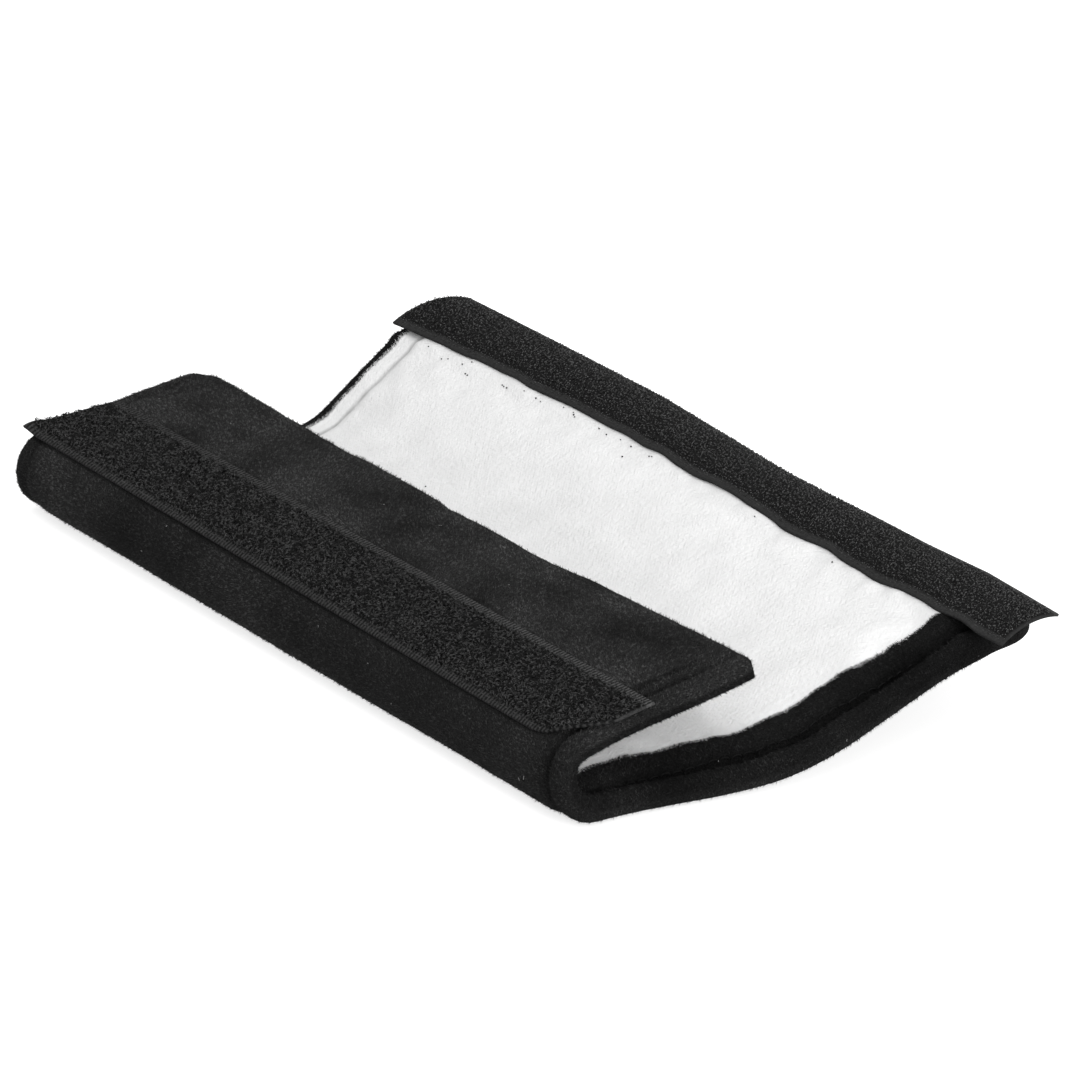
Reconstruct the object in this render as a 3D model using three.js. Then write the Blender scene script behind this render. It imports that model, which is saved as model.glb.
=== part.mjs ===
// A padded sleeve for a car's seat belt, lying part open: a quilted strip folded over at one side.
// The outer cover is short-pile plush, the lining is fleece, and a foam slab lies between them.
// A loop tape is sewn on the folded flap and a hook tape over the other long edge, so that the
// sleeve closes round a 48 mm belt. Millimetres, +Z up, +Y along the sleeve from its near end.
import * as THREE from "three";

// The quilted sheet.
const PAD_LENGTH = 251; // along the belt, between the two sewn ends
const LAYER = 10; // cover, foam and lining together
const COVER_THICKNESS = 1.5;
const LINING_THICKNESS = 1.5;
const CLEARANCE = 0.3; // between pieces that lie on each other
const HALF_LENGTH = PAD_LENGTH / 2;
const HALF_LAYER = LAYER / 2;

// Across the sleeve, measured along the middle of the layer from the flap's free edge.
const FLAP_WIDTH = 50.5;
const FOLD_INNER_RADIUS = 0.8;
const BASE_WIDTH = 115.5; // from the fold to the edge that the hook tape wraps
const NOSE_WIDTH = 16.5; // that edge tapers over this width
const FOLD_RADIUS = HALF_LAYER + FOLD_INNER_RADIUS;
const FOLD_LENGTH = Math.PI * FOLD_RADIUS;
const FOLD_START = FLAP_WIDTH;
const FOLD_END = FOLD_START + FOLD_LENGTH;
const NOSE_START = FOLD_END + BASE_WIDTH;
const SHEET_WIDTH = NOSE_START + NOSE_WIDTH;

// How the sleeve lies. Angles are in degrees above level.
const FLAP_TILT = { near: 16, far: 7.8 };
const RISE_START = { near: 30, far: 68.5 }; // flat stretch beyond the fold
const RISE_LENGTH = { near: 40, far: 15.5 };
const RISE_ANGLE = { near: 16.2, far: 28.2 };
const RISE_SAG = 1.1; // less at mid-length
const FLAP_BOW = 4; // the flap's free edge curves in at mid-length
// How far the sheet has moved towards the near end, at the flap, fold, base and nose.
const SLIP = {
  flap: { near: -0.8, far: -0.8 },
  fold: { near: -8, far: -3 },
  base: { near: 4.7, far: 7.5 },
  nose: { near: 1, far: 1 },
};
const SLIP_PEAK = 60; // the base has slipped most this far beyond the fold

// The sewn edges.
const EDGE_LEVEL = -1.4; // the outermost edge, from the layer's middle
const NOSE_LEVEL = 2 - HALF_LAYER;
const FLAP_EDGE_ROUND = 6;
const END_ROUND = 3;
const STITCH_INSET = 6.5; // topstitch to the end of the pad
const BEAD_TOP = HALF_LAYER - 2.8; // the roll outside the topstitch, on the lining side
const BEAD_BOTTOM = 0.4 - HALF_LAYER;
const GROOVE_TOP = HALF_LAYER - 4;
const GROOVE_BOTTOM = 1.6 - HALF_LAYER;
const SHOULDER_TOP = 8; // the padding swells up again over this width
const SHOULDER_BOTTOM = 6;
const NEAR_HEM = 12; // cover turned over the near end on to the lining side
const FAR_HEM = 2.5;
const FLAP_HEM = 3;
const TAPE_HEM = 3; // the lining runs on below the hook tape
const NARROWEST_HEM = Math.min(NEAR_HEM, FAR_HEM, FLAP_HEM);
const FOAM_END_INSET = STITCH_INSET + 2;
const FOAM_FLAP_INSET = 4.5;
const FLARE = { near: 4, far: 0.5 }; // the taped edge stays longer than the quilted part
const FLARE_WIDTH = 8;
const CORNER_RADIUS = { flapNear: 3, flapFar: 12, noseNear: 5, noseFar: 5 };
const EDGE_ZONE = 20; // a corner moves only points this near a long edge

// Hook and loop tapes.
const TAPE_WIDTH = 25;
const TAPE_WEB = 0.7;
const SELVEDGE = 2.6;
const PILE_EDGE = 0.4; // half the width of the step from selvedge to pile
const LOOP_PILE = 1.4;
const HOOK_PILE = 1;
const LOOP_TAPE_TO_FOLD = 20.5; // part of the loop tape's width before it turns down over the fold
const LOOP_TAPE_SHORT = 5; // near end of the pad to the loop tape
const LOOP_TAPE_OVERHANG = { fold: 2, flap: -3.5 }; // beyond the far end, cut on a slant
const LOOP_TAPE_CORNER = 9;
const HOOK_TAPE_OVERHANG = { near: 5, far: -1 }; // beyond the flared edge
const HOOK_TAPE_ON_LINING = 3;

// Sewing threads.
const THREAD_DIAMETER = 0.6;
const THREAD_SIDES = 6;
const END_THREAD_STEP = 4;
const TAPE_THREAD_STEP = 20;
const TAPE_STITCH_INSET = 1.3;
const TAPE_STITCH_END = 1.5; // from a tape's cut end to its stitching

const { clamp, degToRad, lerp, smoothstep } = THREE.MathUtils;
const smooth = (x) => smoothstep(x, 0, 1);
const along = (pair, y) => lerp(pair.near, pair.far, (y + HALF_LENGTH) / PAD_LENGTH);
const bow = (y) => Math.max(1 - (y / HALF_LENGTH) ** 2, 0); // 1 at mid-length, 0 at the ends
const spread = (from, to, count) =>
  Array.from({ length: count + 1 }, (_, i) => lerp(from, to, i / count));

// The middle of the layer at a place s across and y along: its point in XZ and its direction.
function middle(s, y) {
  if (s < FOLD_END) {
    const turn = Math.PI - degToRad(along(FLAP_TILT, y));
    const radius = FOLD_LENGTH / turn;
    const angle = (Math.min(FOLD_END - s, FOLD_LENGTH) / FOLD_LENGTH) * turn;
    const beyond = Math.max(FOLD_START - s, 0);
    return {
      x: -radius * Math.sin(angle) - beyond * Math.cos(angle),
      z: HALF_LAYER + radius * (1 - Math.cos(angle)) + beyond * Math.sin(angle),
      heading: -angle,
    };
  }
  const flat = along(RISE_START, y);
  const length = along(RISE_LENGTH, y);
  const angle = degToRad(along(RISE_ANGLE, y) - RISE_SAG * bow(y));
  const radius = length / angle;
  const run = s - FOLD_END;
  const bent = clamp((run - flat) / length, 0, 1) * angle;
  const beyond = Math.max(run - flat - length, 0);
  return {
    x: Math.min(run, flat) + radius * Math.sin(bent) + beyond * Math.cos(bent),
    z: HALF_LAYER + radius * (1 - Math.cos(bent)) + beyond * Math.sin(bent),
    heading: bent,
  };
}

// How far the sheet has slipped towards the near end, at a place s across and y along.
function slip(s, y) {
  const marks = [
    [0, SLIP.flap],
    [(FOLD_START + FOLD_END) / 2, SLIP.fold],
    [FOLD_END + SLIP_PEAK, SLIP.base],
    [NOSE_START, SLIP.nose],
  ];
  const next = marks.findIndex(([at]) => s < at);
  if (next < 1) return along(next < 0 ? SLIP.nose : SLIP.flap, y);
  const [[from, a], [to, b]] = marks.slice(next - 1, next + 1);
  return lerp(along(a, y), along(b, y), smooth((s - from) / (to - from)));
}

// A point at height n above the layer's middle, with n > 0 on the lining side.
function place(s, y, n) {
  const m = middle(s, y);
  return new THREE.Vector3(
    m.x - n * Math.sin(m.heading),
    y - slip(s, y),
    m.z + n * Math.cos(m.heading),
  );
}

// A quarter ellipse: 0 at an edge and 1 from the given width inwards.
const rounding = (d, width) => Math.sqrt(1 - (1 - clamp(d / width, 0, 1)) ** 2);

// Height by the distance from an end: bead, stitched groove, shoulder, full layer.
function endProfile(d, bead, groove, full, shoulder) {
  if (d < STITCH_INSET) return lerp(bead, groove, smooth((2 * d) / STITCH_INSET - 1));
  return lerp(groove, full, rounding(d - STITCH_INSET, shoulder));
}

// The outermost edge's level, from the flap's free edge to the edge under the hook tape.
const edgeLevel = (s) =>
  lerp(EDGE_LEVEL, NOSE_LEVEL, smooth((s - NOSE_START + EDGE_ZONE) / EDGE_ZONE));

// Height of the pad's skin on its lining side (side 1) or cover side (-1), drawn in by depth.
function skin(side, s, edge, end, depth) {
  const level = edgeLevel(s);
  const full =
    side > 0
      ? endProfile(end, BEAD_TOP, GROOVE_TOP, HALF_LAYER, SHOULDER_TOP)
      : endProfile(end, BEAD_BOTTOM, GROOVE_BOTTOM, -HALF_LAYER, SHOULDER_BOTTOM);
  const reach = Math.max(side * (full - level) - depth, 0);
  const wide = side > 0 && s > FOLD_END ? NOSE_WIDTH : FLAP_EDGE_ROUND;
  return level + side * reach * rounding(edge - depth, wide) * rounding(end - depth, END_ROUND);
}

// Where a point of the flat sheet lies: edge and end are its distances from the nearest long edge
// and the nearest end. Points by an edge are drawn in by depth, and each corner is rounded.
function sheetPoint(station, row, depth) {
  const drawn = (d) => depth * Math.max(1 - d / NARROWEST_HEM, 0);
  const end = row.end + drawn(row.end);
  const edge = station.edge + drawn(station.edge);
  const inset = drawn(Math.min(station.edge, row.end));
  const corner = (station.left ? "flap" : "nose") + (row.near ? "Near" : "Far");
  const radius = CORNER_RADIUS[corner] - inset;
  const across = radius - Math.min(end - inset, radius);
  const cut = radius - Math.sqrt(radius * radius - across * across);
  const bowed = cut + (station.left ? FLAP_BOW * bow(HALF_LENGTH - row.end) : 0);
  const shifted = edge + bowed * Math.max(1 - station.edge / EDGE_ZONE, 0);
  const s = station.left ? shifted : SHEET_WIDTH - shifted;
  const flare = smooth((s - NOSE_START) / FLARE_WIDTH) * (row.near ? FLARE.near : FLARE.far);
  const reach = HALF_LENGTH - end;
  const y = (row.near ? -1 : 1) * (reach + flare * (reach / HALF_LENGTH) ** 2);
  return { s, y, edge, end };
}

// Stations across the sheet, by their distance from the nearest long edge.
const LEFT_STATIONS = [0, 1, FLAP_HEM, FOAM_FLAP_INSET, 8, ...spread(EDGE_ZONE, FOLD_START, 2)];
const NOSE_STEPS = [30, 50, 70, 90].map((a) => NOSE_WIDTH * (1 - Math.sin(degToRad(a))));
const RIGHT_STATIONS = [NOSE_WIDTH, NOSE_WIDTH - TAPE_HEM, ...NOSE_STEPS];
const STATIONS = [
  ...LEFT_STATIONS.map((edge) => ({ left: true, edge })),
  ...spread(FOLD_START, FOLD_END, 8).slice(1).map((s) => ({ left: true, edge: s })),
  ...spread(FOLD_END, NOSE_START, 13).slice(1, -1).map((s) => ({ left: false, edge: SHEET_WIDTH - s })),
  ...RIGHT_STATIONS.map((edge) => ({ left: false, edge })),
];

// Rows along the sheet, by their distance from the nearest end.
const SHOULDER_END = STITCH_INSET + SHOULDER_TOP;
const END_ROWS = [0, 0.8, 2.4, END_ROUND + 1, STITCH_INSET, FOAM_END_INSET, SHOULDER_END];
const ascending = (a, b) => a - b;
const NEAR_ROWS = [...END_ROWS, NEAR_HEM].sort(ascending);
const FAR_ROWS = [...END_ROWS, FAR_HEM].sort(ascending);
const MIDDLE_ROWS = spread(SHOULDER_END - HALF_LENGTH, HALF_LENGTH - SHOULDER_END, 6).slice(1, -1);
const ROWS = [
  ...NEAR_ROWS.map((end) => ({ near: true, end })),
  ...MIDDLE_ROWS.map((y) => ({ near: y < 0, end: HALF_LENGTH - Math.abs(y) })),
  ...FAR_ROWS.map((end) => ({ near: false, end })).reverse(),
];

// Where the lining is let into the cover, as the first and last station and row.
const LAST = { i0: 0, i1: STATIONS.length - 1, j0: 0, j1: ROWS.length - 1 };
const SEAM = {
  i0: LEFT_STATIONS.indexOf(FLAP_HEM),
  i1: STATIONS.length - RIGHT_STATIONS.length + 1,
  j0: NEAR_ROWS.indexOf(NEAR_HEM),
  j1: LAST.j1 - FAR_ROWS.indexOf(FAR_HEM),
};
const FOAM = {
  i0: LEFT_STATIONS.indexOf(FOAM_FLAP_INSET),
  i1: STATIONS.length - RIGHT_STATIONS.length,
  j0: NEAR_ROWS.indexOf(FOAM_END_INSET),
  j1: LAST.j1 - FAR_ROWS.indexOf(FOAM_END_INSET),
};

// Collects points and quads into one closed geometry.
class Surface {
  positions = [];
  index = [];
  point(v) {
    this.positions.push(v.x, v.y, v.z);
    return this.positions.length / 3 - 1;
  }
  grid({ i0, i1, j0, j1 }, at) {
    const made = [];
    for (let i = i0; i <= i1; i++) {
      made[i] = [];
      for (let j = j0; j <= j1; j++) made[i][j] = this.point(at(i, j));
    }
    return made;
  }
  quad(a, b, c, d) {
    this.index.push(a, b, c, a, c, d);
  }
  // Faces over a grid, upwards or downwards, with an optional hole.
  skin(grid, { i0, i1, j0, j1 }, upwards, hole = () => false) {
    for (let i = i0; i < i1; i++) {
      for (let j = j0; j < j1; j++) {
        if (hole(i, j)) continue;
        const [a, b, c, d] = [grid[i][j], grid[i + 1][j], grid[i + 1][j + 1], grid[i][j + 1]];
        if (upwards) this.quad(a, b, c, d);
        else this.quad(d, c, b, a);
      }
    }
  }
  // Walls between the borders of two grids, facing outwards.
  wall(upper, lower, { i0, i1, j0, j1 }) {
    for (let i = i0; i < i1; i++) {
      this.quad(lower[i][j0], lower[i + 1][j0], upper[i + 1][j0], upper[i][j0]);
      this.quad(upper[i][j1], upper[i + 1][j1], lower[i + 1][j1], lower[i][j1]);
    }
    for (let j = j0; j < j1; j++) {
      this.quad(upper[i0][j], upper[i0][j + 1], lower[i0][j + 1], lower[i0][j]);
      this.quad(lower[i1][j], lower[i1][j + 1], upper[i1][j + 1], upper[i1][j]);
    }
  }
  // A closed slab between two grids.
  slab(upper, lower, range) {
    this.skin(upper, range, true);
    this.skin(lower, range, false);
    this.wall(upper, lower, range);
    return this.geometry();
  }
  geometry() {
    const made = new THREE.BufferGeometry();
    made.setAttribute("position", new THREE.Float32BufferAttribute(this.positions, 3));
    made.setIndex(this.index);
    return made;
  }
}

// A point of the pad's skin at a station and a row.
function skinPoint(side, i, j, depth) {
  const p = sheetPoint(STATIONS[i], ROWS[j], depth);
  return place(p.s, p.y, skin(side, p.s, p.edge, p.end, depth));
}

// The plush cover: the whole outside, turned round every edge on to the lining side.
function outerCover() {
  const surface = new Surface();
  const onBorder = (i, j) => i === LAST.i0 || i === LAST.i1 || j === LAST.j0 || j === LAST.j1;
  const inSeam = (i, j) => i >= SEAM.i0 && i < SEAM.i1 && j >= SEAM.j0 && j < SEAM.j1;
  const [outer, inner] = [0, COVER_THICKNESS].map((depth) => {
    const lower = surface.grid(LAST, (i, j) => skinPoint(-1, i, j, depth));
    const upper = surface.grid(LAST, (i, j) => skinPoint(1, i, j, depth));
    const joined = upper.map((column, i) => column.map((p, j) => (onBorder(i, j) ? lower[i][j] : p)));
    return { lower, upper: joined };
  });
  surface.skin(outer.lower, LAST, false);
  surface.skin(outer.upper, LAST, true, inSeam);
  surface.skin(inner.lower, LAST, true);
  surface.skin(inner.upper, LAST, false, inSeam);
  surface.wall(inner.upper, outer.upper, SEAM);
  return surface.geometry();
}

// The fleece lining, from hem to hem on the belt side.
function lining() {
  const surface = new Surface();
  const inset = (k, first, last) => (k === first ? CLEARANCE : k === last ? -CLEARANCE : 0);
  const [upper, lower] = [0, LINING_THICKNESS].map((below) =>
    surface.grid(SEAM, (i, j) => {
      const p = sheetPoint(STATIONS[i], ROWS[j], 0);
      const s = p.s + inset(i, SEAM.i0, SEAM.i1);
      const y = p.y + inset(j, SEAM.j0, SEAM.j1);
      return place(s, y, skin(1, p.s, p.edge, p.end, 0) - below);
    }),
  );
  return surface.slab(upper, lower, SEAM);
}

// The foam slab, cut to lie inside the topstitching.
function foamPadding() {
  const surface = new Surface();
  const [upper, lower] = [1, -1].map((side) => {
    const fabric = (side > 0 ? LINING_THICKNESS : COVER_THICKNESS) + CLEARANCE;
    return surface.grid(FOAM, (i, j) => {
      const p = sheetPoint(STATIONS[i], ROWS[j], 0);
      return place(p.s, p.y, skin(side, p.s, p.edge, p.end, fabric));
    });
  });
  return surface.slab(upper, lower, FOAM);
}

// A woven tape: a web whose middle carries the pile. The path gives a point at w across the tape,
// y along it and a height above its back.
function tape(path, pile, nearEnd, farEnd) {
  const surface = new Surface();
  const pileStart = SELVEDGE + PILE_EDGE;
  const across = [
    0,
    SELVEDGE - PILE_EDGE,
    ...spread(pileStart, TAPE_WIDTH - pileStart, 6),
    TAPE_WIDTH - SELVEDGE + PILE_EDGE,
    TAPE_WIDTH,
  ];
  const steps = [0, 0.02, 0.05, ...spread(0.1, 1, 6)];
  const range = { i0: 0, i1: across.length - 1, j0: 0, j1: steps.length - 1 };
  const isPile = (w) => w > SELVEDGE && w < TAPE_WIDTH - SELVEDGE;
  const [front, back] = [true, false].map((face) =>
    surface.grid(range, (i, j) => {
      const w = across[i];
      const height = face ? TAPE_WEB + (isPile(w) ? pile : 0) : 0;
      return path(w, lerp(nearEnd(w), farEnd(w), steps[j]), height);
    }),
  );
  return surface.slab(front, back, range);
}

// The loop tape lies on the cover: w runs from the fold's side towards the flap's free edge.
function onLoopTape(w, y, height) {
  const n = -(HALF_LAYER + CLEARANCE + height);
  const turned = TAPE_WIDTH - LOOP_TAPE_TO_FOLD - w;
  const shrink = turned > 0 ? FOLD_RADIUS / (FOLD_RADIUS + HALF_LAYER) : 1;
  return place(FOLD_START + turned * shrink, y, n);
}

// The loop tape's near end, with the corner on the fold's side rounded off.
function loopTapeNear(w) {
  const across = Math.max(LOOP_TAPE_CORNER - w, 0);
  const corner = LOOP_TAPE_CORNER - Math.sqrt(LOOP_TAPE_CORNER ** 2 - across * across);
  return LOOP_TAPE_SHORT - HALF_LENGTH + corner;
}
const loopTapeFar = (w) =>
  HALF_LENGTH + lerp(LOOP_TAPE_OVERHANG.fold, LOOP_TAPE_OVERHANG.flap, w / TAPE_WIDTH);

// The hook tape starts on the lining and wraps the nose, a quarter ellipse: w runs from its edge
// on the lining to its edge below the nose.
function onHookTape(w, y, height) {
  const lift = CLEARANCE + height;
  const run = w - HOOK_TAPE_ON_LINING;
  if (run <= 0) return place(NOSE_START + run, y, HALF_LAYER + lift);
  const [a, b] = [NOSE_WIDTH, HALF_LAYER - NOSE_LEVEL];
  const quarter = (Math.PI / 4) * (3 * (a + b) - Math.sqrt((3 * a + b) * (a + 3 * b)));
  const angle = (run / quarter) * (Math.PI / 2);
  const s = NOSE_START + (a + lift) * Math.sin(angle);
  return place(s, y, NOSE_LEVEL + (b + lift) * Math.cos(angle));
}
const hookTapeNear = () => -(HALF_LENGTH + FLARE.near + HOOK_TAPE_OVERHANG.near);
const hookTapeFar = () => HALF_LENGTH + FLARE.far + HOOK_TAPE_OVERHANG.far;

// A sewing thread along a line of points.
function thread(points, step) {
  const corners = spread(0, 2 * Math.PI, THREAD_SIDES).slice(0, -1);
  const radius = THREAD_DIAMETER / 2;
  const section = new THREE.Shape(
    corners.map((a) => new THREE.Vector2(radius * Math.cos(a), radius * Math.sin(a))),
  );
  const path = new THREE.CatmullRomCurve3(points, false, "centripetal");
  const steps = Math.ceil(path.getLength() / step);
  return new THREE.ExtrudeGeometry(section, { steps, extrudePath: path, bevelEnabled: false });
}

// The topstitch along one end, on the cover side (-1) or the lining side (1).
function endThread(near, side) {
  const row = { near, end: STITCH_INSET };
  const lift = side * (2 * CLEARANCE + THREAD_DIAMETER / 2);
  const sewn = STATIONS.filter((station) => station.edge >= FLAP_HEM);
  return thread(
    sewn.map((station) => {
      const p = sheetPoint(station, row, 0);
      return place(p.s, p.y, skin(side, p.s, p.edge, p.end, 0) + lift);
    }),
    END_THREAD_STEP,
  );
}

// A row of stitches along a tape, at w across it.
function tapeThread(path, w, nearEnd, farEnd) {
  const height = TAPE_WEB + CLEARANCE + THREAD_DIAMETER / 2;
  const ys = spread(nearEnd(w) + TAPE_STITCH_END, farEnd(w) - TAPE_STITCH_END, 12);
  return thread(ys.map((y) => path(w, y, height)), TAPE_THREAD_STEP);
}

// Finishes.
const finish = (color, roughness) => new THREE.MeshStandardMaterial({ color, roughness, metalness: 0 });
const plushBlack = finish(0x1c1c1e, 0.95);
const fleeceWhite = finish(0xe9e9e6, 0.95);
const foamCream = finish(0xd8d4c4, 0.9);
const loopBlack = finish(0x161618, 0.9);
const hookBlack = finish(0x222224, 0.6);
const threadBlack = finish(0x101012, 0.6);
const threadWhite = finish(0xe4e4e0, 0.6);

const sleeve = new THREE.Group();
function add(name, geometry, material) {
  const mesh = new THREE.Mesh(geometry, material);
  mesh.name = name;
  sleeve.add(mesh);
}

add("outer_cover", outerCover(), plushBlack);
add("lining", lining(), fleeceWhite);
add("foam_padding", foamPadding(), foamCream);
add("loop_tape", tape(onLoopTape, LOOP_PILE, loopTapeNear, loopTapeFar), loopBlack);
add("hook_tape", tape(onHookTape, HOOK_PILE, hookTapeNear, hookTapeFar), hookBlack);
for (const [end, near] of [["near", true], ["far", false]]) {
  add(`${end}_end_needle_thread`, endThread(near, -1), threadBlack);
  add(`${end}_end_bobbin_thread`, endThread(near, 1), near ? threadBlack : threadWhite);
}
const tapeRows = [["inner", TAPE_STITCH_INSET], ["outer", TAPE_WIDTH - TAPE_STITCH_INSET]];
for (const [edge, w] of tapeRows) {
  add(`hook_tape_${edge}_thread`, tapeThread(onHookTape, w, hookTapeNear, hookTapeFar), threadBlack);
}
for (const [edge, w] of tapeRows) {
  const across = TAPE_WIDTH - w;
  add(`loop_tape_${edge}_thread`, tapeThread(onLoopTape, across, loopTapeNear, loopTapeFar), threadBlack);
}

// The origin goes under the middle of the finished piece, at the surface that it lies on.
const box = new THREE.Box3().setFromObject(sleeve);
sleeve.position.set(-(box.min.x + box.max.x) / 2, -(box.min.y + box.max.y) / 2, -box.min.z);

export default sleeve;
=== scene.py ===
import math

import bpy
import numpy as np
from mathutils import Matrix, Vector


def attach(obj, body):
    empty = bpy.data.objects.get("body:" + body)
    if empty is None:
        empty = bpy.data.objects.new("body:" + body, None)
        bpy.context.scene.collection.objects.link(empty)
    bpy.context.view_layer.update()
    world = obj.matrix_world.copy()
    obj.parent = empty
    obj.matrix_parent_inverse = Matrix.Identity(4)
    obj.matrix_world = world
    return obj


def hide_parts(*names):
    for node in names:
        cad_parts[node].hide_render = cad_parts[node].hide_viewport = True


# A padded seat belt sleeve that lies part open: black plush outside, white fleece inside, with a
# loop tape on the folded flap and a hook tape along the other edge. Lengths are millimetres and
# become metres when a mesh is made. +X goes from the fold to the hook tape, +Y from the hemmed
# near end to the far end, +Z up.

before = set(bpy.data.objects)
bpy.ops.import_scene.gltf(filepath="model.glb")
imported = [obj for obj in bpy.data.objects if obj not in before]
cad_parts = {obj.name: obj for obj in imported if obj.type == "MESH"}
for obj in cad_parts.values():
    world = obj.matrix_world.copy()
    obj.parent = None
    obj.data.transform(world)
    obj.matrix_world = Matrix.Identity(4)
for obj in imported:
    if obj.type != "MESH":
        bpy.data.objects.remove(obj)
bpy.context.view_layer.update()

MM = 0.001
ORIGIN = np.array([-60.3333, 2.5729, 0.0])  # where the base leaves the fold, in the row frame

# The quilted sheet, as in the CAD.
PAD_LENGTH, LAYER = 251.0, 10.0
COVER_THICKNESS = LINING_THICKNESS = 1.5
CLEARANCE = 0.3
HALF_LENGTH, HALF_LAYER = PAD_LENGTH / 2, LAYER / 2
FLAP_WIDTH, FOLD_INNER_RADIUS, BASE_WIDTH, NOSE_WIDTH = 50.5, 0.8, 115.5, 16.5
FOLD_RADIUS = HALF_LAYER + FOLD_INNER_RADIUS
FOLD_LENGTH = math.pi * FOLD_RADIUS
FOLD_START = FLAP_WIDTH
FOLD_END = FOLD_START + FOLD_LENGTH
NOSE_START = FOLD_END + BASE_WIDTH
SHEET_WIDTH = NOSE_START + NOSE_WIDTH

# How it lies: each pair is the near end's value and the far end's.
FLAP_TILT = (16, 7.8)
RISE_START, RISE_LENGTH, RISE_ANGLE = (30, 68.5), (40, 15.5), (16.2, 28.2)
RISE_SAG, FLAP_BOW, FLAP_IN = 1.1, 4.2, 2.2
SLIP_AT = (0, FOLD_START - 2, FOLD_END, FOLD_END + 60, NOSE_START)
SLIP = ((-0.8, -0.8), (-8, -3), (-3.5, -3), (4.7, 7.5), (1, 1))

# The sewn edges.
EDGE_LEVEL, NOSE_LEVEL = -1.4, 0.6 - HALF_LAYER
FLAP_EDGE_ROUND, LINED_EDGE_ROUND, END_ROUND = 6.0, 3.0, 3.0
# By side, at the near and the far end: the topstitch's inset, the height of the bead outside it
# and of its groove, and the widths of the slopes outside and inside the groove.
STITCH_INSET = {1: (6.5, 12.3), -1: (6.5, 6.5)}
BEAD = {1: (2.2, 3.6), -1: (-4.6, -4.6)}
GROOVE = {1: (-0.2, 3.3), -1: (-2.6, -3.9)}
BEAD_SLOPE, SHOULDER = {1: (2.4, 1.6), -1: (2.6, 2.6)}, {1: (5.0, 3.5), -1: (6.0, 6.0)}
NEAR_HEM, FAR_HEM, FLAP_HEM, TAPE_HEM = 12.0, 5.0, 3.0, 3.0
HEM_AT, HEM_WIDER = (0, 50, 62, 90, 110, 140, 165, 190), (0, 0, -1.2, 1.4, 2.8, 2.6, 0.6, 0)
NARROWEST_HEM = min(NEAR_HEM, FAR_HEM, FLAP_HEM)
FLARE, FLARE_WIDTH, EDGE_ZONE = (1.5, 0.5), 8.0, 20.0
CORNERS = {(True, True): 1.5, (True, False): 12, (False, True): 9, (False, False): 5}

# The tapes.
TAPE_WIDTH, TAPE_WEB, SELVEDGE = 25.0, 0.7, 2.3
LOOP_PILE, HOOK_PILE = 0.9, 1.0
LOOP_TAPE_TO_FOLD, LOOP_TAPE_CORNER = 20.5, 11.0
LOOP_TAPE_SHORT = (5.0, -1.5)  # before the near end, on the fold's side and the flap's
LOOP_OVERHANG = (0.2, -5.0)  # beyond the far end, likewise
HOOK_OVERHANG = (12.7, 3.0)  # beyond the near end, on the lining's side and the outer side
HOOK_SHORT = 0.5  # far end of the pad to the hook tape
HOOK_TAPE_ON_LINING = 3.0
HOOK_AT = (-126, -100, -76, -50, -20, 40, 85, 126)
HOOK_BEND = (40, 36, 40, 46, 56, 54, 52, 50)  # degrees that the tape turns down over the nose there
HOOK_IN = (0, -0.4, -0.8, 0, 0.9, 2.2, 0.8, -0.6)  # how far in its inner edge lies there


def lerp(a, b, t):
    """The value at share t of the way from a to b."""
    return a + (b - a) * t


def smooth(t):
    """A step from 0 to 1 with level ends: three t squared less two t cubed."""
    t = np.clip(t, 0, 1)
    return t * t * (3 - 2 * t)


def along(pair, y):
    """The value at y, in a straight line from the near end's to the far end's."""
    return lerp(pair[0], pair[1], (y + HALF_LENGTH) / PAD_LENGTH)


def bow(y):
    """One at mid-length and nought at both ends: one less the square of y over the half length."""
    return np.maximum(1 - (y / HALF_LENGTH) ** 2, 0)


def unevenness(u, v, size, seed):
    """Random heights, about -1 to 1: a lattice of random values size apart, joined by smooth steps."""
    a, b = np.asarray(u) / size, np.asarray(v) / size
    i, j = np.floor(a).astype(int), np.floor(b).astype(int)
    table = np.random.default_rng(seed).uniform(-1, 1, (64, 512))

    def at(di, dj):
        return table[(i + di) % 64, (j + dj) % 512]

    fu, fv = smooth(a - i), smooth(b - j)
    return lerp(lerp(at(0, 0), at(1, 0), fu), lerp(at(0, 1), at(1, 1), fu), fv)


def middle(s, y):
    """The middle of the layer across the sleeve: a straight flap, an arc of fold, a level base, an
    arc that turns up and a straight rise. Gives x, z and the heading of the layer."""
    turn = np.pi - np.radians(along(FLAP_TILT, y))
    radius = FOLD_LENGTH / turn
    angle = np.clip((FOLD_END - s) / FOLD_LENGTH, 0, 1) * turn
    flap = np.maximum(FOLD_START - s, 0)
    flat, length = along(RISE_START, y), along(RISE_LENGTH, y)
    rise = np.radians(along(RISE_ANGLE, y) - RISE_SAG * bow(y))
    run = np.maximum(s - FOLD_END, 0)
    bent = np.clip((run - flat) / length, 0, 1) * rise
    rest = np.maximum(run - flat - length, 0)
    x = -radius * np.sin(angle) - flap * np.cos(angle) + np.minimum(run, flat)
    x = x + length / rise * np.sin(bent) + rest * np.cos(bent)
    z = radius * (1 - np.cos(angle)) + flap * np.sin(angle) + HALF_LAYER
    z = z + length / rise * (1 - np.cos(bent)) + rest * np.sin(bent)
    return x, z, bent - angle


def slip(s, y):
    """How far the sheet has slipped towards the near end: smooth steps from mark to mark."""
    at = [along(pair, y) for pair in SLIP]
    moved = [
        (at[k + 1] - at[k]) * smooth((s - SLIP_AT[k]) / (SLIP_AT[k + 1] - SLIP_AT[k]))
        for k in range(len(SLIP_AT) - 1)
    ]
    return at[0] + sum(moved)


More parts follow.
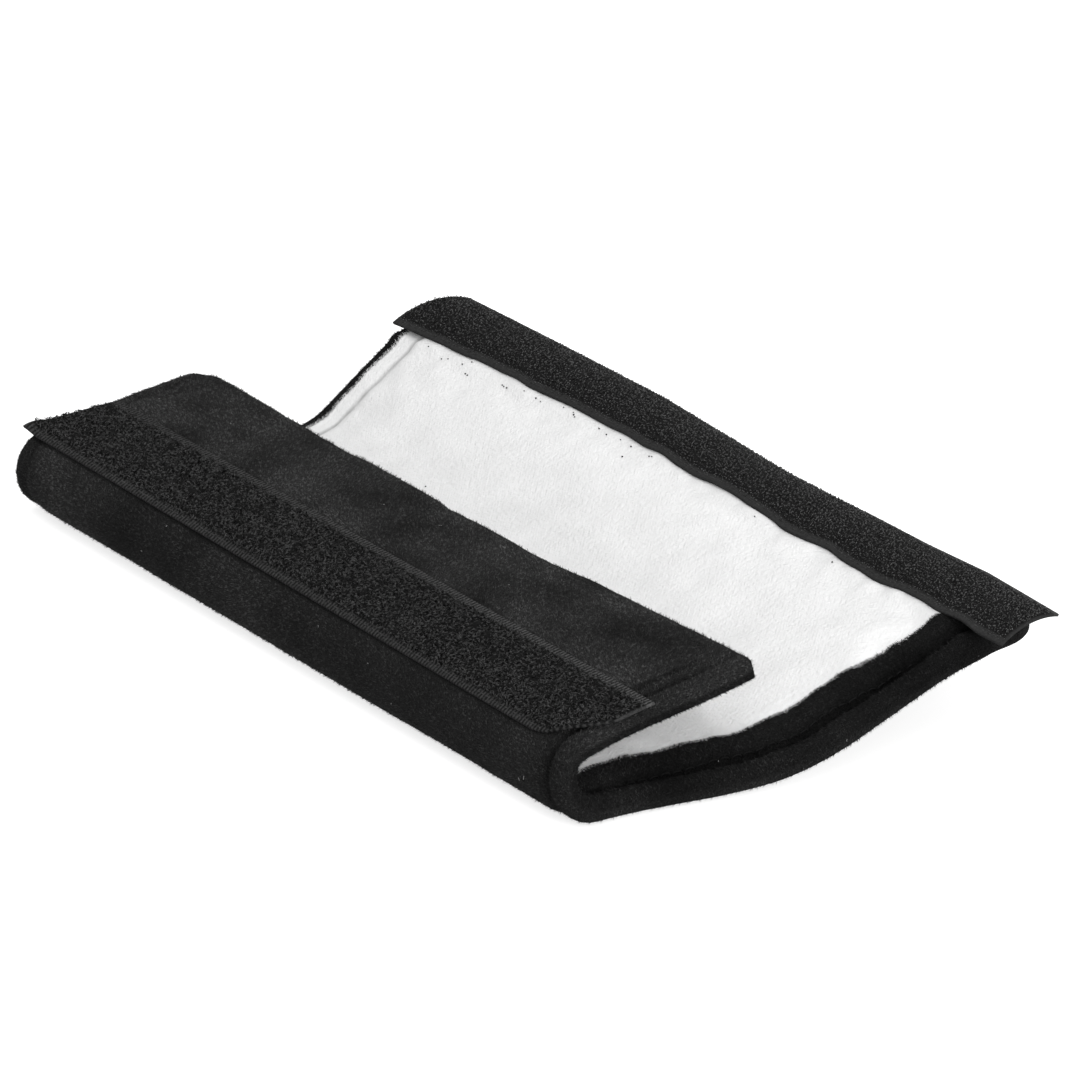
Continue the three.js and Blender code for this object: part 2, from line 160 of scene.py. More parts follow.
def place(s, y, n):
    """The point s across and y along the sheet, n above its middle on the lining side."""
    s, y, n = np.broadcast_arrays(s, y, n)
    x, z, heading = middle(s, y)
    point = np.stack([x - n * np.sin(heading), y - slip(s, y), z + n * np.cos(heading)], -1)
    return point + ORIGIN


def upright_at(s, y):
    """The sheet's own upright at a place."""
    heading = middle(s, y)[2]
    return np.stack([-np.sin(heading), 0 * s, np.cos(heading)], -1)


def rounding(d, width):
    """A quarter ellipse: 0 at an edge and 1 from width inwards."""
    return np.sqrt(1 - (1 - np.clip(d / width, 0, 1)) ** 2)


def end_profile(side, d, near):
    """The skin's height by its distance from an end: a bead, the stitched groove, then a quarter
    ellipse up to the full layer."""
    inset, bead, groove, slope, shoulder = (
        np.where(near, *pair[side]) for pair in (STITCH_INSET, BEAD, GROOVE, BEAD_SLOPE, SHOULDER)
    )
    outside = lerp(bead, groove, smooth((d - inset) / slope + 1))
    inside = lerp(groove, side * HALF_LAYER, rounding(d - inset, shoulder))
    return np.where(d < inset, outside, inside)


def edge_level(s):
    """The level of the outermost edge, which drops by a smooth step below the hook tape."""
    return lerp(EDGE_LEVEL, NOSE_LEVEL, smooth((s - NOSE_START + EDGE_ZONE) / EDGE_ZONE))


SWELLING = {}  # how far the padding pushes each skin out, once it has been simulated


def swelling(side, s, y):
    """The simulated swelling at a place, from a table in half millimetres, joined in straight lines."""
    if side not in SWELLING:
        return 0
    table = SWELLING[side]
    a = np.clip(s * 2, 0, table.shape[0] - 1.001)
    b = np.clip((y + HALF_LENGTH) * 2, 0, table.shape[1] - 1.001)
    i, j = a.astype(int), b.astype(int)
    fa, fb = a - i, b - j
    low = lerp(table[i, j], table[i + 1, j], fa)
    return lerp(low, lerp(table[i, j + 1], table[i + 1, j + 1], fa), fb)


def puckers(side, s, y, edge, end):
    """What the soft layers do beside the stitches: the simulated swelling, short folds across the
    topstitch that die out over the shoulder, and a slow unevenness of the padding."""
    near_stitch = np.exp(-(((end - np.where(y < 0, *STITCH_INSET[side]) - 3) / 3.5) ** 2))
    folds = unevenness(s, y * 0.3, 5.0, 11 + side) * 0.45 * near_stitch
    lumps = unevenness(s, y, 17.0, 23 + side) * 0.25 + unevenness(s, y, 7.0, 31 + side) * 0.12
    relief = (folds + lumps) * rounding(edge, 6) * rounding(end, 5) + side * swelling(side, s, y)
    if side > 0:
        return relief
    lifts = along(RISE_START, y) + FOLD_END + 12
    on_table = smooth((s - FOLD_END + 14) / 8) * smooth((lifts - s) / 12)
    return lerp(relief, np.abs(relief) * 0.5, on_table)


def hook_wave(y):
    """How far the hook tape's inner edge wavers."""
    return unevenness(0 * y, y, 17, 61) * 0.7 + unevenness(0 * y, y, 8, 63) * 0.6


def hook_start(y):
    """Where the hook tape's inner edge lies across the sheet: a wavy line."""
    return NOSE_START - HOOK_TAPE_ON_LINING + np.interp(y, HOOK_AT, HOOK_IN) + hook_wave(y)


def hook_radius(y):
    """The radius that the hook tape's width is bent to."""
    return TAPE_WIDTH / np.radians(np.interp(y, HOOK_AT, HOOK_BEND))


def under_tape(s, y):
    """The nose's height under the hook tape: the arc of a circle that starts at the tape's edge."""
    radius = hook_radius(y)
    turned = np.clip((s - hook_start(y)) / radius, 0, 1)
    return HALF_LAYER - radius * (1 - np.sqrt(1 - turned**2)) - 0.3 * smooth(turned * 5)


def skin(side, s, y, edge, end, depth):
    """The skin's height over the middle on the lining side (1) or cover side (-1): the full height
    times a quarter ellipse towards each edge, drawn in by depth. The groove dies out at the flap's
    corners, and the lining bulges beside the hook tape and goes under it."""
    level = edge_level(s)
    full = end_profile(side, end, y < 0) + puckers(side, s, y, edge, end)
    bead = np.where(y < 0, *BEAD[side])
    unsewn = np.where(s < FOLD_START, 1 - smooth(edge / 9), 0)
    full = lerp(full, lerp(bead, side * HALF_LAYER, smooth(end / 10)), unsewn)
    if side > 0:
        beside = hook_start(y) + 1 - s
        bulge = 0.6 + 0.5 * unevenness(s * 0.4, y, 4, 65)
        full = full + bulge * np.exp(-(((beside - 3.2) / 1.8) ** 2))
        full = np.minimum(full, np.where(beside < 1, under_tape(s, y), 99))
    reach = np.maximum(side * (full - level) - depth, 0)
    wide = LINED_EDGE_ROUND if side > 0 else FLAP_EDGE_ROUND
    return level + side * reach * rounding(edge - depth, wide) * rounding(end - depth, END_ROUND)


def sheet_points(flat_s, flat_y, depth):
    """Where points of the flat sheet lie, drawn in by depth at the edges, with each corner rounded
    by a quarter circle and the taped edge flared towards the ends. The near hem's inner border
    curves inwards and is a little uneven."""
    wider = np.interp(flat_s, HEM_AT, HEM_WIDER)
    wider = wider + unevenness(flat_s, 0 * flat_s, 8, 71) * 0.35
    wider = wider + unevenness(flat_s, 0 * flat_s, 2.8, 72) * 0.2
    flat_y = flat_y + wider * np.exp(-(((flat_y + HALF_LENGTH - NEAR_HEM) / 5) ** 2))
    left, near = flat_s <= FOLD_END, flat_y < 0
    edge = np.where(left, flat_s, SHEET_WIDTH - flat_s)
    end = HALF_LENGTH - np.abs(flat_y)
    radius = np.select(
        [left & near, left & ~near, ~left & near],
        [CORNERS[True, True], CORNERS[True, False], CORNERS[False, True]],
        CORNERS[False, False],
    )

    def drawn(d):
        return depth * np.maximum(1 - d / NARROWEST_HEM, 0)

    inset = drawn(np.minimum(edge, end))
    radius = radius - inset
    moved_end = end + drawn(end)
    across = radius - np.minimum(moved_end - inset, radius)
    cut = radius - np.sqrt(np.maximum(radius**2 - across**2, 0))
    bowed = cut + np.where(left, FLAP_IN + FLAP_BOW * bow(HALF_LENGTH - end), 0)
    moved = edge + drawn(edge) + bowed * np.maximum(1 - edge / EDGE_ZONE, 0)
    s = np.where(left, moved, SHEET_WIDTH - moved)
    flare = smooth((s - NOSE_START) / FLARE_WIDTH) * np.where(near, FLARE[0], FLARE[1])
    reach = HALF_LENGTH - moved_end
    y = np.where(near, -1, 1) * (reach + flare * (reach / HALF_LENGTH) ** 2)
    return s, y, moved, moved_end


def marks(first, last, spacing, fixed):
    """Distances from first to last, about spacing apart, crowded towards both ends, and passing
    through the fixed ones. A mark too close to its neighbour goes, well inside the ends."""
    close = np.array([0, 0.06, 0.22, 0.5, 0.9, 1.4, 2.0, 2.7, 3.5, 4.4])
    low, high = first + close[-1], last - close[-1]
    count = max(int(round((high - low) / spacing)), 1)
    pins = [first, last, *fixed]
    found = [pins, first + close, last - close, np.linspace(low, high, count + 1)]
    every = np.unique(np.round(np.concatenate(found), 4))
    pinned = np.isin(every, np.round(pins, 4))
    tight = np.diff(every) < 0.3 * spacing
    keep = np.ones(len(every), bool)
    for k in range(1, len(every) - 1):
        inside = 5 < every[k] - first < last - first - 5
        keep[k] = pinned[k] or not (inside and (tight[k] or (pinned[k - 1] and tight[k - 1])))
    return every[keep]


def strip(index, upwards=True):
    """The quads between neighbouring rows and columns of a grid of vertex numbers."""
    quads = np.stack([index[:-1, :-1], index[1:, :-1], index[1:, 1:], index[:-1, 1:]], -1)
    quads = quads.reshape(-1, 4)
    return quads if upwards else quads[:, ::-1]


def rim(upper, lower):
    """The quads round a slab, between the borders of its upper and lower grids."""
    def ring(grid):
        return np.concatenate([grid[:-1, 0], grid[-1, :-1], grid[:0:-1, -1], grid[0, :0:-1]])
    top, low = ring(upper), ring(lower)
    return np.stack([low, np.roll(low, -1), np.roll(top, -1), top], -1)


def slab(upper, lower, a, b, tone):
    """A sheet from two grids of points, with a wall round it. a and b are the places of the points
    on the flat cloth."""
    grid = np.arange(a.size).reshape(a.shape)
    below = grid + a.size
    faces = np.concatenate([strip(grid), strip(below, False), rim(grid, below)])
    plan = np.stack([a.ravel(), b.ravel()], -1)
    points = np.concatenate([upper.reshape(-1, 3), lower.reshape(-1, 3)])
    return points, faces, np.tile(plan, (2, 1)), np.tile(tone.ravel(), 2)


def closed(lower):
    """The vertex numbers of a second grid, joined to the first one round the edge."""
    upper = lower + lower.size
    upper[[0, -1]] = lower[[0, -1]]
    upper[:, [0, -1]] = lower[:, [0, -1]]
    return upper


def add_object(name, data):
    """A new object in the scene."""
    made = bpy.data.objects.new(name, data)
    bpy.context.scene.collection.objects.link(made)
    return made


def make_piece(name, points, faces, finish, slot, nodes=(), plan=None, soft=None, level=True, tone=None):
    """A mesh piece from points in millimetres and faces of three or four numbers. plan gives each
    point its place on the flat cloth, for woven patterns, and tone how light the pile looks, painted sheen
    and painted shade included."""
    faces = [np.asarray(f) for f in (faces if isinstance(faces, list) else [faces])]
    corners = np.concatenate([f.ravel() for f in faces]).astype(np.int32)
    sizes = np.concatenate([np.full(len(f), f.shape[1]) for f in faces])
    starts = np.concatenate([[0], np.cumsum(sizes)[:-1]]).astype(np.int32)
    mesh = bpy.data.meshes.new(name)
    points = np.array(points)
    points[:, 2] = np.maximum(points[:, 2], 0)  # nothing goes into the surface it lies on
    mesh.vertices.add(len(points))
    mesh.vertices.foreach_set("co", (points * MM).astype(np.float32).ravel())
    mesh.loops.add(len(corners))
    mesh.loops.foreach_set("vertex_index", corners)
    mesh.polygons.add(len(sizes))
    mesh.polygons.foreach_set("loop_start", starts)
    mesh.update(calc_edges=True)
    mesh.polygons.foreach_set("use_smooth", np.full(len(sizes), level))
    if plan is not None:
        layer = mesh.uv_layers.new(name="cloth")
        layer.data.foreach_set("uv", (np.asarray(plan)[corners] * MM).astype(np.float32).ravel())
    if tone is not None:
        mesh.attributes.new("tone", "FLOAT", "POINT").data.foreach_set("value", tone.astype(np.float32))
    mesh.materials.append(finish)
    piece = add_object(name, mesh)
    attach(piece, "root")
    if nodes:
        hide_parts(*nodes)
    return piece


# Materials.


def set_inputs(node, values):
    """Constant values on a node's own sockets."""
    for name, value in values.items():
        node.inputs[name].default_value = value


def new_finish(name, roughness, gloss=0.06, sheen=0.0, sheen_roughness=0.5):
    """A fabric's shader, with its constant values on its own sockets."""
    finish = bpy.data.materials.new(name)
    finish.use_nodes = True
    shader = finish.node_tree.nodes["Principled BSDF"]
    set_inputs(shader, {"Roughness": roughness, "Specular IOR Level": gloss})
    set_inputs(shader, {"Sheen Weight": sheen, "Sheen Roughness": sheen_roughness})
    return finish, finish.node_tree, shader


def feed(tree, sockets, values):
    """Gives each socket its value: a number, or another socket to link to."""
    for socket, value in zip(sockets, values):
        if isinstance(value, (int, float)):
            socket.default_value = value
        else:
            tree.links.new(value, socket)


def noise(tree, scale, detail=2.0):
    """Noise on the piece's own coordinates, with scale in features a metre."""
    node = tree.nodes.new("ShaderNodeTexNoise")
    set_inputs(node, {"Scale": scale, "Detail": detail})
    place_on = tree.nodes.new("ShaderNodeTexCoord").outputs["Object"]
    tree.links.new(place_on, node.inputs["Vector"])
    return node.outputs["Fac"]


def ramp(tree, value, stops):
    """Colours by value."""
    node = tree.nodes.new("ShaderNodeValToRGB")
    elements = node.color_ramp.elements
    while len(elements) < len(stops):
        elements.new(0.5)
    for element, (at, colour) in zip(elements, stops):
        element.position = at
        element.color = (*colour, 1)
    tree.links.new(value, node.inputs["Fac"])
    return node.outputs["Color"]


def grey(level):
    """A neutral colour from a level as a screen shows it, 0 to 255."""
    c = level / 255
    c = c / 12.92 if c <= 0.04045 else ((c + 0.055) / 1.055) ** 2.4
    return (c, c, c)


def mixed(tree, share, a, b, way="MIX"):
    """Two colours mixed by a share."""
    node = tree.nodes.new("ShaderNodeMix")
    node.data_type = "RGBA"
    node.blend_type = way
    feed(tree, (node.inputs["Factor"], node.inputs[6], node.inputs[7]), (share, a, b))
    return node.outputs[2]


def reckon(tree, operation, *values):
    """Arithmetic on values or sockets."""
    node = tree.nodes.new("ShaderNodeMath")
    node.operation = operation
    feed(tree, node.inputs, values)
    return node.outputs[0]


def added(tree, value, share, base):
    """A share of one value on top of another."""
    return reckon(tree, "ADD", reckon(tree, "MULTIPLY", value, share), base)


def waves(tree, value, pitch):
    """A sine with one wave in every pitch, in metres."""
    return reckon(tree, "SINE", reckon(tree, "MULTIPLY", value, 2 * math.pi / pitch))


def on_cloth(tree):
    """The point's place on the flat cloth, across and along."""
    node = tree.nodes.new("ShaderNodeUVMap")
    node.uv_map = "cloth"
    split = tree.nodes.new("ShaderNodeSeparateXYZ")
    tree.links.new(node.outputs["UV"], split.inputs[0])
    return split.outputs["X"], split.outputs["Y"]


def own_tone(tree, output):
    """The tone that the piece's points carry."""
    node = tree.nodes.new("ShaderNodeAttribute")
    node.attribute_name = "tone"
    return node.outputs[output]


def raise_by(tree, shader, height, distance, strength=1.0):
    """Relief on the shader: a height over distance, in metres."""
    node = tree.nodes.new("ShaderNodeBump")
    set_inputs(node, {"Distance": distance, "Strength": strength})
    tree.links.new(height, node.inputs["Height"])
    tree.links.new(node.outputs["Normal"], shader.inputs["Normal"])


def tone_with_painted_light(tree, colour):
    """A colour made lighter or darker by the tone that the points carry: patches, painted sheen and
    painted shade.
    """
    return mixed(tree, 1.0, colour, own_tone(tree, "Color"), "MULTIPLY")


def black_plush():
    """Short black pile: tufts and single fibres, lighter or darker by the points' tone, with painted sheen
    and painted shade.
    """
    finish, tree, shader = new_finish("black plush", 0.95)
    tufts, fibres = noise(tree, 520, 3.0), noise(tree, 2600)
    speckle = ramp(tree, fibres, [(0.35, grey(14)), (0.65, grey(32))])
    tree.links.new(tone_with_painted_light(tree, speckle), shader.inputs["Base Color"])
    raise_by(tree, shader, added(tree, tufts, 0.5, fibres), 0.0004)
    return finish


def plush_fibre():
    """Single fibres of the pile, in tufts, lighter or darker by the points' tone, with painted sheen and
    painted shade.
    """
    finish, tree, shader = new_finish("plush fibre", 0.8)
    tone = ramp(tree, noise(tree, 1100), [(0.36, grey(24)), (0.5, grey(38)), (0.64, grey(54))])
    tree.links.new(tone_with_painted_light(tree, tone), shader.inputs["Base Color"])
    return finish


def white_fleece():
    """Brushed white knit: faint rows of stitches under a soft nap, with painted shade in its creases."""
    finish, tree, shader = new_finish("white fleece", 0.95, 0.25, 0.1, 0.6)
    across, ahead = on_cloth(tree)
    knit = reckon(tree, "MULTIPLY", waves(tree, across, 0.0013), waves(tree, ahead, 0.0011))
    tone = ramp(tree, noise(tree, 90, 3.0), [(0.3, grey(229)), (0.7, grey(237))])
    tree.links.new(tone_with_painted_light(tree, tone), shader.inputs["Base Color"])
    raise_by(tree, shader, added(tree, knit, 0.06, noise(tree, 900, 3.0)), 0.0006, 0.8)
    return finish


def cream_foam():
    """Open-cell foam, hidden between the fabrics."""
    finish, tree, shader = new_finish("cream foam", 0.9)
    cells = noise(tree, 1500, 3.0)
    tone = ramp(tree, cells, [(0.3, (0.62, 0.58, 0.48)), (0.7, (0.8, 0.77, 0.68))])
    tree.links.new(tone, shader.inputs["Base Color"])
    raise_by(tree, shader, cells, 0.0004)
    return finish


def tape_cloth(name, ground, ribs, ribbing):
    """Woven tape: a dark mottled ground, and selvedges with ribs across them that show as much as
    ribbing says. ground and ribs are the darkest and lightest levels."""
    finish, tree, shader = new_finish(name, 0.85)
    selvedge = own_tone(tree, "Fac")
    grain = noise(tree, 1500, 3.0)
    ribbed = added(tree, waves(tree, on_cloth(tree)[1], 0.0012), ribbing, grain)
    plain = ramp(tree, grain, [(0.3, grey(ground[0])), (0.7, grey(ground[1]))])
    striped = ramp(tree, ribbed, [(0.3, grey(ribs[0])), (0.8, grey(ribs[1]))])
    tree.links.new(mixed(tree, selvedge, plain, striped), shader.inputs["Base Color"])
    raise_by(tree, shader, mixed(tree, selvedge, grain, ribbed), 0.0003)
    return finish


def yarn(name, level, roughness=0.6, spread=0.35, gloss=0.1):
    """Thread or pile: one tone that varies from fibre to fibre."""
    finish, tree, shader = new_finish(name, roughness, gloss)
    low, high = grey(level * (1 - spread)), grey(level * (1 + spread))
    strands = ramp(tree, noise(tree, 1500, 1.0), [(0.38, low), (0.62, high)])
    tree.links.new(strands, shader.inputs["Base Color"])
    return finish


PLUSH = black_plush()
FLEECE = white_fleece()
LOOP_CLOTH = tape_cloth("loop tape cloth", ground=(6, 20), ribs=(26, 84), ribbing=0.22)
HOOK_CLOTH = tape_cloth("hook tape cloth", ground=(10, 28), ribs=(54, 70), ribbing=0.05)
THREAD = yarn("black thread", 12)
TAPE_THREAD = yarn("tape thread", 46)
PALE_THREAD = yarn("white thread", 225, spread=0.05)
LINT = yarn("grey lint", 150, roughness=0.8, spread=0.15)
PLUSH_FIBRE = plush_fibre()
FLEECE_FIBRE = yarn("fleece fibre", 236, roughness=0.9, spread=0.03)
LOOP_FIBRE = yarn("loop fibre", 34, roughness=0.5, spread=0.95)
HOOK_FIBRE = yarn("hook fibre", 52, roughness=0.3, spread=0.85, gloss=0.2)

# The quilted layers.

SPACING = 1.4  # between the skins' points
SEAM_S = (FLAP_HEM, SHEET_WIDTH - NOSE_WIDTH + TAPE_HEM)
SEAM_Y = (NEAR_HEM - HALF_LENGTH, HALF_LENGTH - FAR_HEM)
STATIONS = marks(0, SHEET_WIDTH, SPACING, SEAM_S)
ROWS = marks(-HALF_LENGTH, HALF_LENGTH, SPACING, SEAM_Y)
SEAM_I = np.searchsorted(STATIONS, np.array(SEAM_S) - 1e-3)  # the seam's own lines among them
SEAM_J = np.searchsorted(ROWS, np.array(SEAM_Y) - 1e-3)


def skin_points(side, flat_s, flat_y, depth):
    """Points of the pad's skin."""
    s, y, edge, end = sheet_points(flat_s, flat_y, depth)
    return place(s, y, skin(side, s, y, edge, end, depth))


# The painted shade of the pile's crease lies at this distance
CREASE_AT = 10.2  # from the flap's near end


def pile_patches_and_painted_light(outside, s, y):
    """How light the pile looks: the flap's top, brushed towards the light, carries painted sheen, and
    the rest is darker, the fold's side as painted shade, with soft patches from fingers. Painted shade
    darkens it along the topstitch's groove, and in a crease beside it on the flap's near end."""
    patches = unevenness(s, y, 15, 81) * 0.34 + unevenness(s, y * 0.6, 6, 82) * 0.24
    patches = patches + unevenness(s, y, 2.2, 83) * 0.08
    on_flap = outside * (1 - smooth((s - FOLD_START + 6) / 6))
    end = HALF_LENGTH - np.abs(y)
    inside = smooth((s - 9) / 6)
    broken = 0.75 + 0.25 * unevenness(s, 0 * y, 1.6, 84)
    # Painted shade in the topstitch's groove, broken along it.
    groove_shade = np.exp(-(((end - STITCH_INSET[-1][0]) / 0.6) ** 2)) * np.where(y < 0, 0.9, 0.4)
    groove_shade = groove_shade * inside * broken
    # Painted shade in a crease beside the topstitch, on the flap's near end.
    crease_shade = on_flap * np.exp(-(((end - CREASE_AT) / 0.6) ** 2)) * inside * 0.85 * (y < 0) * broken
    # Painted sheen on the flap's top at 1.8, painted shade on the fold's side at 1.2 to 1.7, the lining
    # side at 0.75.
    fold_side = 1.2 + 0.5 * smooth((y - 40) / 80)
    return lerp(lerp(0.75, fold_side, outside), 1.8, on_flap) * (1 + patches) * (1 - groove_shade) * (1 - crease_shade)


def fleece_painted_shade(s, y):
    """How light the fleece looks: painted shade in the far end's stitched groove and beside the tape."""
    # Painted shade along the far end's stitched groove.
    line = (HALF_LENGTH - y - STITCH_INSET[1][1] + 0.5) / 0.7
    groove_shade = np.exp(-(line**2)) * (0.6 + 0.15 * unevenness(s, 0 * s, 3, 85))
    # Painted shade on the fleece beside the hook tape's edge.
    beside = np.maximum(hook_start(y) - s, 0)
    tape_edge_shade = np.exp(-beside / 1.8) * (0.1 + 0.08 * unevenness(s * 0.5, y, 3, 86))
    return (1 - groove_shade) * (1 - tape_edge_shade)


def outer_cover():
    """The plush cover: the outside at depth 0 and its inner face at its thickness, both turned
    round every edge up to the seam, where a wall joins them."""
    s, y = np.meshgrid(STATIONS, ROWS, indexing="ij")
    count = s.size
    grid = np.arange(count).reshape(s.shape)
    hole = np.zeros((s.shape[0] - 1, s.shape[1] - 1), bool)
    hole[SEAM_I[0] : SEAM_I[1], SEAM_J[0] : SEAM_J[1]] = True
    points, faces, hems = [], [], []
    for k, depth in enumerate((0, COVER_THICKNESS)):
        lower = grid + 2 * k * count
        upper = closed(lower)
        points += [skin_points(side, s, y, depth).reshape(-1, 3) for side in (-1, 1)]
        outwards = k == 0
        faces.append(strip(lower, not outwards))
        faces.append(strip(upper, outwards)[~hole.ravel()])
        hems.append(upper[SEAM_I[0] : SEAM_I[1] + 1, SEAM_J[0] : SEAM_J[1] + 1])
    faces.append(rim(hems[1], hems[0])[:, ::-1])
    plan = np.tile(np.stack([s.ravel(), y.ravel()], -1), (4, 1))
    outside = np.concatenate(faces[:2])
    points, faces = np.concatenate(points), np.concatenate(faces)
    is_lower = np.arange(len(outside)) < (s.shape[0] - 1) * (s.shape[1] - 1)
    used, numbers = np.unique(faces, return_inverse=True)
    skin_of = (points, outside, plan, is_lower)
    tone = np.tile(np.concatenate([pile_patches_and_painted_light(k, s.ravel(), y.ravel()) for k in (1, 0)]), 2)
    return points[used], numbers.reshape(faces.shape), plan[used], tone[used], skin_of


def lining():
    """The fleece: the pad's upper skin inside the seam, and the same lower by its thickness."""
    stations, rows = STATIONS[SEAM_I[0] : SEAM_I[1] + 1], ROWS[SEAM_J[0] : SEAM_J[1] + 1]
    flat_s, flat_y = np.meshgrid(stations, rows, indexing="ij")
    s, y, edge, end = sheet_points(flat_s, flat_y, 0)
    height = skin(1, s, y, edge, end, 0)
    upper, lower = place(s, y, height), place(s, y, height - LINING_THICKNESS)
    return slab(upper, lower, flat_s, flat_y, fleece_painted_shade(s, y))


SETTLED = 20  # the frame at which the simulated padding is read


def swell_padding():
    """Cloth simulation of the whole pad as one closed bag with air inside, held at its edges and
    topstitching, under the tapes and where it lies on the table. What each point moved along the
    sheet's own upright, capped, is kept as a table that is smoothed over two millimetres."""
    stations = np.unique(np.concatenate([np.linspace(0, SHEET_WIDTH, 58), [3, FOLD_START, FOLD_END]]))
    inner = HALF_LENGTH - STITCH_INSET[-1][0]
    rows = np.concatenate([[-HALF_LENGTH, -HALF_LENGTH + 3], np.linspace(-inner, inner, 68)])
    rows = np.sort(np.append(rows, [HALF_LENGTH - STITCH_INSET[1][1], HALF_LENGTH - 3, HALF_LENGTH]))
    flat_s, flat_y = np.meshgrid(stations, rows, indexing="ij")
    s, y, edge, end = sheet_points(flat_s, flat_y, 0)
    skins = {side: place(s, y, skin(side, s, y, edge, end, 0)) for side in (-1, 1)}
    grid = np.arange(s.size).reshape(s.shape)
    faces = np.concatenate([strip(grid, False), strip(closed(grid))])
    start = np.concatenate([skins[-1].reshape(-1, 3), skins[1].reshape(-1, 3)])
    mesh = bpy.data.meshes.new("bag")
    mesh.from_pydata((start * MM).tolist(), [], faces.tolist())
    bag = add_object("bag", mesh)
    stitched = {
        side: (np.abs(end - np.where(y < 0, *STITCH_INSET[side])) < 0.3) | (edge < 0.5) | (end < 3.2)
        for side in (-1, 1)
    }
    taped = (s < FOLD_START + 6) & (s > FOLD_START - LOOP_TAPE_TO_FOLD)
    held_low = stitched[-1] | (start[: s.size, 2].reshape(s.shape) < 1.0) | taped
    held_high = stitched[1] | (edge < 4) | (s > NOSE_START - 6)
    held = bag.vertex_groups.new(name="held")
    numbers = np.concatenate([grid[held_low], grid[held_high] + s.size])
    held.add(numbers.tolist(), 1.0, "REPLACE")
    cloth = bag.modifiers.new("Cloth", "CLOTH")
    settings = cloth.settings
    settings.vertex_group_mass = "held"
    settings.use_pressure = True
    settings.uniform_pressure_force = 4
    settings.shrink_min = -0.008
    settings.mass = 0.3
    settings.tension_stiffness = settings.compression_stiffness = 12
    settings.bending_stiffness = 0.4
    settings.quality = 5
    settings.effector_weights.gravity = 0
    scene = bpy.context.scene
    scene.frame_start, scene.frame_end = 1, SETTLED
    for frame_number in range(1, SETTLED + 1):
        scene.frame_set(frame_number)
    final = bag.evaluated_get(bpy.context.evaluated_depsgraph_get()).to_mesh()
    moved = np.empty(len(final.vertices) * 3, np.float32)
    final.vertices.foreach_get("co", moved)
    moved = moved.reshape(-1, 3) / MM - start
    scene.frame_set(1)
    bpy.data.objects.remove(bag)
    bpy.data.meshes.remove(mesh)
    upright = upright_at(s, y)
    for k, side in enumerate((-1, 1)):
        part = moved[k * s.size : (k + 1) * s.size].reshape(*s.shape, 3)
        out = np.clip(side * (part * upright).sum(-1), -0.6, 1.3)
        out[held_low if side < 0 else held_high] = 0
        fine_s = np.arange(0, int(SHEET_WIDTH * 2) + 2) / 2
        fine_y = np.arange(0, int(PAD_LENGTH * 2) + 2) / 2 - HALF_LENGTH
        table = np.stack([np.interp(fine_s, stations, column) for column in out.T], -1)
        table = np.stack([np.interp(fine_y, rows, line) for line in table])
        bell = np.exp(-np.linspace(-2, 2, 9) ** 2)
        bell /= bell.sum()
        for _ in ("across", "along"):
            padded = np.pad(table, [(4, 4), (0, 0)], mode="edge")
            table = sum(weight * padded[k : k + len(table)] for k, weight in enumerate(bell)).T
        SWELLING[side] = table


swell_padding()
points, faces, plan, tone, COVER_SKIN = outer_cover()
make_piece("plush_cover", points, faces, PLUSH, "plush", ["outer_cover"], plan, 0.7, tone=tone)
points, faces, plan, tone = lining()
make_piece("fleece_lining", points, faces, FLEECE, "fleece", ["lining"], plan, 0.7, tone=tone)
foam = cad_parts["foam_padding"]
for place_for in foam.material_slots:
    place_for.material = cream_foam()


# The tapes.


def on_loop_tape(w, y, height):
    """A point of the loop tape: w from the fold's side to the flap's free edge, on the cover. The
    far corner on the fold's side curls up by a smooth step."""
    turned = TAPE_WIDTH - LOOP_TAPE_TO_FOLD - w
    shrink = np.where(turned > 0, FOLD_RADIUS / (FOLD_RADIUS + HALF_LAYER), 1)
    curl = 1.5 * smooth((y - HALF_LENGTH + 5) / 5) * smooth(1 - w / 8)
    return place(FOLD_START + turned * shrink, y, -(HALF_LAYER + CLEARANCE + height + curl))


def loop_tape_near(w):
    """The near cut end: a quarter circle at the corner on the fold's side, then a smooth step out
    to a point on the flap's side."""
    across = np.maximum(LOOP_TAPE_CORNER - w, 0)
    corner = LOOP_TAPE_CORNER - np.sqrt(LOOP_TAPE_CORNER**2 - across**2)
    return lerp(LOOP_TAPE_SHORT[0], LOOP_TAPE_SHORT[1], smooth((w - 4) / 12)) - HALF_LENGTH + corner


def loop_tape_far(w):
    """The far cut end, on a slant."""
    return HALF_LENGTH + lerp(LOOP_OVERHANG[0], LOOP_OVERHANG[1], w / TAPE_WIDTH)


def on_hook_tape(w, y, height):
    """A point of the hook tape: w from its edge on the lining, over an arc of a circle that turns
    down round the nose. Its outer edge doesn't waver."""
    lift, radius = CLEARANCE + height, hook_radius(y)
    s = hook_start(y) - hook_wave(y) * w / TAPE_WIDTH + (radius + lift) * np.sin(w / radius)
    return place(s, y, HALF_LAYER - radius + (radius + lift) * np.cos(w / radius))


def hook_tape_near(w):
    """The near cut end, on a slant."""
    return -HALF_LENGTH - lerp(HOOK_OVERHANG[0], HOOK_OVERHANG[1], w / TAPE_WIDTH)


def hook_tape_far(w):
    """The far cut end."""
    return HALF_LENGTH - HOOK_SHORT + 0 * w


TAPES = {
    "loop": (on_loop_tape, loop_tape_near, loop_tape_far),
    "hook": (on_hook_tape, hook_tape_near, hook_tape_far),
}


def blades(roots, tips, across):
    """Single fibres: a narrow triangle from two points at the root to the tip."""
    points = np.stack([roots - across, roots + across, tips], 1).reshape(-1, 3)
    return points, np.arange(len(points)).reshape(-1, 3)


